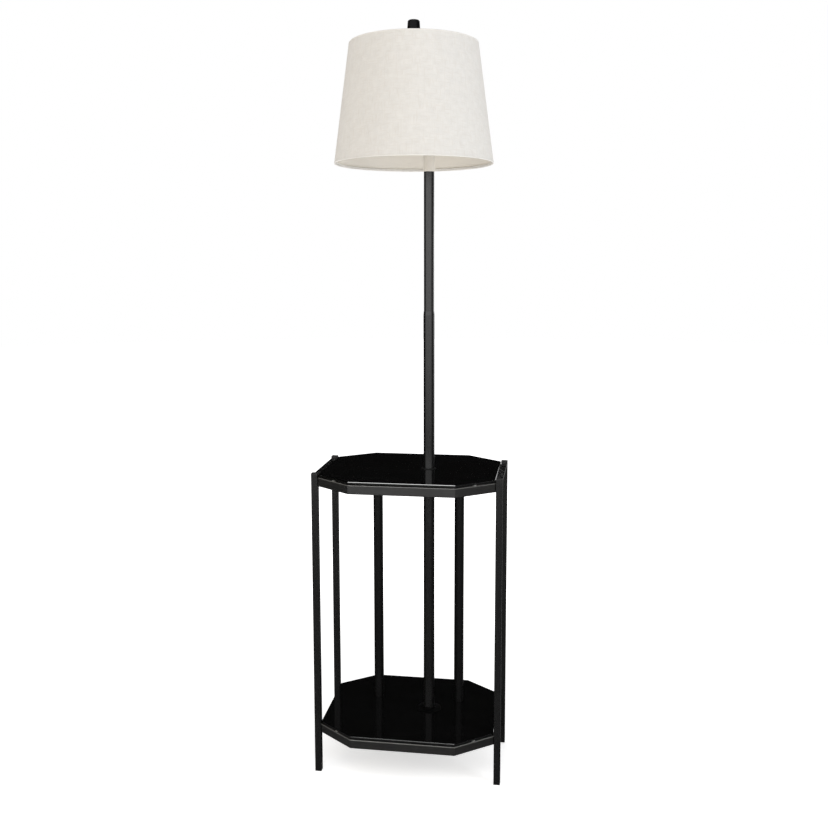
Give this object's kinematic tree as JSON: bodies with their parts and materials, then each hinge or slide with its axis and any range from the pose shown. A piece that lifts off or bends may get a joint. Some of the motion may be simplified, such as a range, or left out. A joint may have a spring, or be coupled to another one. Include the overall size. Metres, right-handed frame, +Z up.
{
  "type": "shelf floor lamp",
  "caption": "Floor lamp whose black pole rises through a two-tier octagonal shelf table on square legs, with an off-white empire shade, harp and finial.",
  "frame": {"origin": "on the floor, under the middle of the shelves (bottom centre of the bounding box)", "axes": "+X to the right along the long shelf edges, +Y to the back, +Z up"},
  "size_m": [0.404, 0.3344, 1.6025],
  "materials": {
    "satin_black_steel": "satin black powder coat",
    "gunmetal_rail": "satin gunmetal",
    "black_glass": "gloss, polished bevel",
    "clear_bumper": "translucent",
    "black_plastic": "matte",
    "black_rubber": "matte",
    "plated_steel": "zinc plated",
    "brass_plate": "brass plated",
    "insulating_paper": "matte",
    "phenolic": "moulded",
    "bulb_glass": "frosted",
    "bulb_metal": "satin",
    "linen": "off-white linen, hardback",
    "shade_styrene": "white styrene",
    "ring_wire": "off-white enamel",
    "finial_black": "satin black"
  },
  "bodies": {
    "lamp_frame": {"leg_front_left": "satin_black_steel", "leg_front_right": "satin_black_steel", "leg_back_left": "satin_black_steel", "leg_back_right": "satin_black_steel", "post_left": "satin_black_steel", "post_right": "satin_black_steel", "pole_lower": "satin_black_steel", "pole_upper": "satin_black_steel", "pole_base_flange": "satin_black_steel", "offset_housing": "satin_black_steel", "offset_cover": "satin_black_steel", "upper_frame_rails": "gunmetal_rail", "lower_frame_rails": "gunmetal_rail", "upper_frame_braces": "gunmetal_rail", "lower_frame_braces": "gunmetal_rail", "upper_side_ties": "gunmetal_rail", "upper_shelf_panel": "black_glass", "lower_shelf_panel": "black_glass", "upper_shelf_pads": "clear_bumper", "lower_shelf_pads": "clear_bumper", "leg_feet": "black_plastic", "leg_top_plugs": "black_plastic", "cord_bushing": "black_plastic", "upper_shelf_grommet": "black_rubber", "lower_shelf_spacers": "black_rubber", "post_inserts": "plated_steel", "post_bolts": "plated_steel", "post_screws": "plated_steel", "pole_foot_insert": "plated_steel", "pole_top_insert": "plated_steel", "pole_base_nipple": "plated_steel", "pole_top_nipple": "plated_steel", "head_nipple": "plated_steel", "pole_washer": "plated_steel", "nipple_nuts": "plated_steel", "harp": "brass_plate", "harp_saddle": "brass_plate", "harp_stud": "brass_plate", "socket_cap": "brass_plate", "socket_shell": "brass_plate", "socket_screw_shell": "brass_plate", "socket_contact": "brass_plate", "socket_liner": "insulating_paper", "socket_body": "phenolic"},
    "shade": {"shade_fabric": "linen", "shade_liner": "shade_styrene", "shade_top_hem": "linen", "shade_bottom_hem": "linen", "shade_top_ring": "ring_wire", "shade_bottom_ring": "ring_wire", "shade_spider": "ring_wire"},
    "finial_knob": {"finial": "finial_black"},
    "switch": {"switch_knob": "black_plastic", "switch_shaft": "plated_steel"},
    "bulb": {"bulb_base": "bulb_metal", "bulb_glass": "bulb_glass"},
    "sleeve_front": {"harp_sleeve_front": "brass_plate"},
    "sleeve_back": {"harp_sleeve_back": "brass_plate"}
  },
  "joints": [
    {"name": "switch_turn", "type": "hinge", "parent": "lamp_frame", "child": "switch", "pos_m": [-0.0199, 0, 1.37], "axis": [-1, 0, 0], "continuous": true},
    {"name": "shade_turn", "type": "hinge", "parent": "lamp_frame", "child": "shade", "pos_m": [0.0045, 0, 1.5454], "axis": [0, 0, 1], "continuous": true},
    {"name": "finial_turn", "type": "hinge", "parent": "lamp_frame", "child": "finial_knob", "pos_m": [0.0045, 0, 1.5614], "axis": [0, 0, 1], "continuous": true},
    {"name": "bulb_turn", "type": "hinge", "parent": "lamp_frame", "child": "bulb", "pos_m": [0.0045, 0, 1.389], "axis": [0, 0, 1], "continuous": true},
    {"name": "sleeve_front_lift", "type": "slide", "parent": "lamp_frame", "child": "sleeve_front", "axis": [0, 0, 1], "range_m": [0, 0.01]},
    {"name": "sleeve_back_lift", "type": "slide", "parent": "lamp_frame", "child": "sleeve_back", "axis": [0, 0, 1], "range_m": [0, 0.01]}
  ]
}
